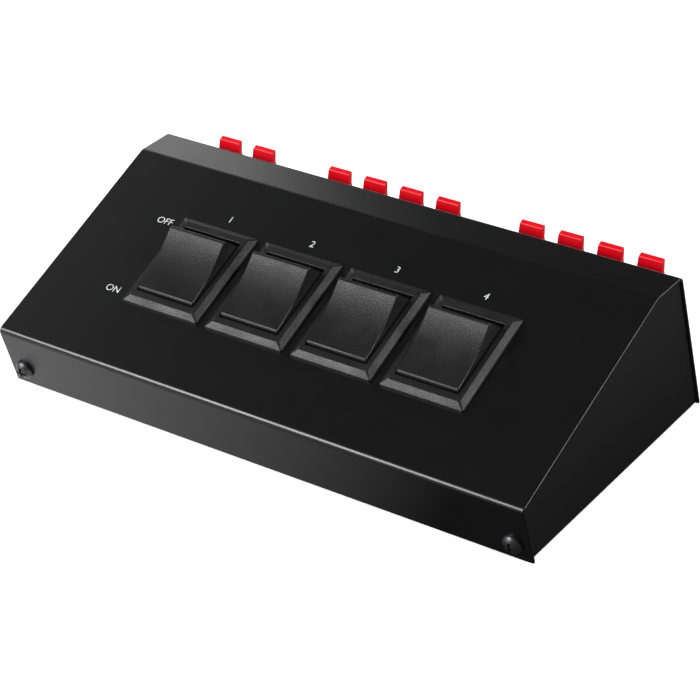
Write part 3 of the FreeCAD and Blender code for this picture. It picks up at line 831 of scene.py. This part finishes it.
class Carried:
    """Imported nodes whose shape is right, and the finish that each one gets."""

    def dress(self, palette: Palette) -> None:
        """Give every carried node its finish."""
        finishes = {
            "base_chassis": palette.chassis_coat,
            "rubber_feet": palette.rubber,
            "cover_screws": palette.screw_black,
            "terminal_rivets": palette.rivet_black,
            "switch_lugs": palette.brass,
        }
        for number in range(1, 5):
            finishes[f"plunger_{number}"] = palette.nylon
            finishes[f"contact_blade_{number}"] = palette.brass
        for name in ("input", "output_a", "output_b"):
            finishes[f"terminal_block_{name}"] = palette.block_plastic
            finishes[f"terminal_clips_{name}"] = palette.tinned
        for node, finish in finishes.items():
            piece = bpy.data.objects[node]
            for number in range(len(piece.material_slots)):
                piece.material_slots[number].material = palette.get(finish)
            log.info("dressed %s", node)


@dataclass
class SoftBox:
    """A soft square lamp that faces a point of the console."""

    name: str
    place: tuple[float, float, float]
    size: float
    watts: float
    aim: tuple[float, float, float] = (0.0, 0.0, 0.02)

    def hang(self) -> None:
        """Add the lamp to the scene."""
        lamp = bpy.data.lights.new(self.name, "AREA")
        lamp.shape = "SQUARE"
        lamp.size = self.size
        lamp.energy = self.watts
        holder = bpy.data.objects.new(self.name, lamp)
        holder.location = self.place
        facing = Vector(self.aim) - Vector(self.place)
        holder.rotation_euler = facing.to_track_quat("-Z", "Y").to_euler()
        bpy.context.scene.collection.objects.link(holder)


@dataclass
class Studio:
    """White floor that glows as a painted sheen in reflections, soft lamps and the camera."""

    azimuth: float = 36.287
    elevation: float = 30.833
    roll: float = 2.689
    distance: float = 0.66516
    target: tuple[float, float, float] = (0.00532, -0.00713, 0.02013)
    focal_length: float = 126.71
    sensor: float = 36.0
    floor_size: float = 12.0
    floor_roughness: float = 0.9
    world_level: float = 0.072
    floor_colour: float = 0.80
    floor_lift: float = 0.50
    # Painted sheen: the floor glows for glossy rays only, at these levels along X in metres.
    sheen_reach: float = 0.4
    sheen_peak: float = 1.4
    sheen: tuple[tuple[float, float], ...] = ((-0.085, 1.0), (0.055, 0.035), (0.09, 0.04), (0.20, 0.24))
    lamps: tuple[SoftBox, ...] = (
        SoftBox("front_left_softbox", (-0.56, -0.76, 0.57), 0.42, 16.5),
        SoftBox("back_left_softbox", (-0.52, 0.42, 0.30), 0.28, 0.60),
        SoftBox("left_softbox", (-0.86, 0.16, 0.66), 0.40, 0.45),
        SoftBox("right_softbox", (0.76, 0.12, 0.80), 0.46, 8.8),
        SoftBox("back_right_softbox", (0.55, 0.75, 0.52), 0.40, 3.5),
    )

    def build(self) -> None:
        """Set up the floor, the lamps, the world and the camera."""
        self._floor()
        for lamp in self.lamps:
            lamp.hang()
        world = bpy.data.worlds.new("studio_world")
        world.use_nodes = True
        world.node_tree.nodes["Background"].inputs["Color"].default_value = (1.0, 1.0, 1.0, 1.0)
        world.node_tree.nodes["Background"].inputs["Strength"].default_value = self.world_level
        bpy.context.scene.world = world
        bpy.context.scene.view_settings.view_transform = "Standard"
        self._camera()

    def _floor(self) -> None:
        """Lay a pale floor that keeps the shadow."""
        bm = bmesh.new()
        bmesh.ops.create_grid(bm, x_segments=1, y_segments=1, size=self.floor_size / 2)
        data = bpy.data.meshes.new("floor")
        bm.to_mesh(data)
        bm.free()
        floor = bpy.data.objects.new("floor", data)
        bpy.context.scene.collection.objects.link(floor)
        data.materials.append(self._floor_material())

    def _floor_material(self) -> bpy.types.Material:
        """White to the camera, pale to the light, and a painted sheen in reflections: the floor glows for glossy
        rays only, fading from left to right.

        Returns:
            The floor's material.
        """
        material = bpy.data.materials.new("white_floor")
        material.use_nodes = True
        tree = material.node_tree
        shader = tree.nodes["Principled BSDF"]
        shader.inputs["Base Color"].default_value = (self.floor_colour, self.floor_colour, self.floor_colour, 1.0)
        shader.inputs["Roughness"].default_value = self.floor_roughness
        path = tree.nodes.new("ShaderNodeLightPath")
        lift = tree.nodes.new("ShaderNodeEmission")
        amount = tree.nodes.new("ShaderNodeMath")
        amount.operation = "MULTIPLY"
        amount.inputs[1].default_value = self.floor_lift
        direct = tree.nodes.new("ShaderNodeMath")
        direct.operation = "MAXIMUM"
        tree.links.new(path.outputs["Is Camera Ray"], direct.inputs[0])
        tree.links.new(path.outputs["Is Transmission Ray"], direct.inputs[1])
        tree.links.new(direct.outputs["Value"], amount.inputs[0])
        tree.links.new(amount.outputs["Value"], lift.inputs["Strength"])
        seen = tree.nodes.new("ShaderNodeAddShader")
        tree.links.new(shader.outputs["BSDF"], seen.inputs[0])
        tree.links.new(lift.outputs["Emission"], seen.inputs[1])
        places = tree.nodes.new("ShaderNodeTexCoord")
        axes = tree.nodes.new("ShaderNodeSeparateXYZ")
        tree.links.new(places.outputs["Object"], axes.inputs["Vector"])
        along = tree.nodes.new("ShaderNodeMapRange")
        along.inputs["From Min"].default_value = -self.sheen_reach
        along.inputs["From Max"].default_value = self.sheen_reach
        tree.links.new(axes.outputs["X"], along.inputs["Value"])
        fade = tree.nodes.new("ShaderNodeValToRGB")
        stops = fade.color_ramp.elements
        while len(stops) < len(self.sheen):
            stops.new(1.0)
        for stop, (x, level) in zip(stops, self.sheen):
            stop.position = (x / self.sheen_reach + 1.0) / 2.0
            stop.color = (level, level, level, 1.0)
        tree.links.new(along.outputs["Result"], fade.inputs["Fac"])
        # Painted reflection: the floor glows for glossy rays only. It is brightest at the left, dim in the middle
        # and lighter again far to the right, so walls that mirror it show painted light.
        sheen = tree.nodes.new("ShaderNodeEmission")
        sheen.inputs["Strength"].default_value = self.sheen_peak
        tree.links.new(fade.outputs["Color"], sheen.inputs["Color"])
        mix = tree.nodes.new("ShaderNodeMixShader")
        tree.links.new(path.outputs["Is Glossy Ray"], mix.inputs["Fac"])
        tree.links.new(seen.outputs["Shader"], mix.inputs[1])
        tree.links.new(sheen.outputs["Emission"], mix.inputs[2])
        tree.links.new(mix.outputs["Shader"], tree.nodes["Material Output"].inputs["Surface"])
        return material

    def _camera(self) -> None:
        """Place the camera at the photograph's angle."""
        azimuth = math.radians(self.azimuth)
        elevation = math.radians(self.elevation)
        back = Vector((
            math.sin(azimuth) * math.cos(elevation),
            -math.cos(azimuth) * math.cos(elevation),
            math.sin(elevation),
        ))
        level = (-back).cross(Vector((0.0, 0.0, 1.0))).normalized()
        upright = level.cross(-back)
        roll = math.radians(self.roll)
        right = level * math.cos(roll) - upright * math.sin(roll)
        up = upright * math.cos(roll) + level * math.sin(roll)
        lens = bpy.data.cameras.new("camera")
        lens.lens = self.focal_length
        lens.sensor_width = self.sensor
        lens.sensor_fit = "HORIZONTAL"
        camera = bpy.data.objects.new("camera", lens)
        turn = Matrix((right, up, back)).transposed().to_4x4()
        camera.matrix_world = Matrix.Translation(Vector(self.target) + back * self.distance) @ turn
        bpy.context.scene.collection.objects.link(camera)
        bpy.context.scene.camera = camera


def main() -> None:
    """Build the console's pieces and the studio."""
    logging.basicConfig(level=logging.INFO, format="%(message)s")
    layout = Layout()
    palette = Palette()
    switches = [layout.pivot(f"rocker_{number}_hinge").x / MILLIMETRE for number in range(1, 5)]
    Cover().build(layout, palette, switches)
    for number, x in enumerate(switches, 1):
        Bezel().build(number, layout.slope.place(x), palette)
        RockerCap().build(number, layout.slope.place(x, 0.0, -layout.pivot_depth), palette)
    for row in Row:
        for number in range(1, 11):
            TerminalLever().build(row, number, layout, palette)
    Legends().build(layout, palette, switches)
    Carried().dress(palette)
    Studio().build()


if __name__ == "__main__":
    main()
